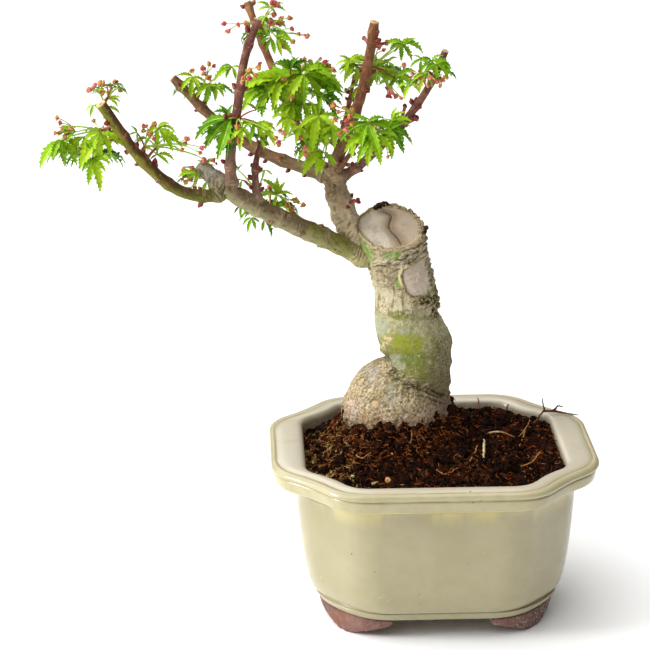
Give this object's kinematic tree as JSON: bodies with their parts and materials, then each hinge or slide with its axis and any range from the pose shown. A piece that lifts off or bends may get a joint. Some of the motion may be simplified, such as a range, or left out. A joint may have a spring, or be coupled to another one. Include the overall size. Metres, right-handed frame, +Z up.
{
  "type": "potted maple bonsai",
  "caption": "Small maple bonsai with a short twisted trunk, pruned boughs and open clumps of young lobed leaves, standing in a lobed glazed ceramic pot with clay feet.",
  "frame": {"origin": "middle of the part's bounding box in plan, on the ground that the pot's feet stand on", "axes": "+Z up; +X along the pot's long side, to the right as seen from the front; -Y towards the front. The pot's own centre stands 40.5 mm to the +X side of the origin."},
  "size_m": [0.2076, 0.1028, 0.2411],
  "materials": {
    "glaze": "glossy cream to pale olive glaze with faint brown lines",
    "clay": "bare matte reddish-brown fired clay",
    "soil": "moist dark peat with fibres, grit and a little moss",
    "bark": "flaking grey-beige bark with green algae, pale cut wood",
    "limb": "ringed brown-grey bark, red-brown on the young shoots",
    "leaf": "fresh yellow-green young leaves"
  },
  "bodies": {
    "root": {"pot_body": "glaze", "foot_front_left": "clay", "foot_front_right": "clay", "foot_back_left": "clay", "foot_back_right": "clay", "soil": "soil", "trunk": "bark", "leader": "limb", "bough_lower_left": "limb", "bough_upper_left": "limb", "bough_outer_left": "limb", "stub_left": "limb", "shoot_left_upright": "limb", "shoot_mid_left": "limb", "shoot_back_upright": "limb", "shoot_right_upright": "limb", "shoot_thin": "limb", "bough_right": "limb", "shoot_front_right": "limb", "outer_left_foliage": "leaf", "left_tip_foliage": "leaf", "left_inner_foliage": "leaf", "upper_left_foliage": "leaf", "top_foliage": "leaf", "middle_left_foliage": "leaf", "stub_foliage": "leaf", "hanging_foliage": "leaf", "centre_foliage": "leaf", "lower_centre_foliage": "leaf", "right_upper_foliage": "leaf", "right_end_foliage": "leaf", "right_lower_foliage": "leaf"}
  },
  "joints": []
}
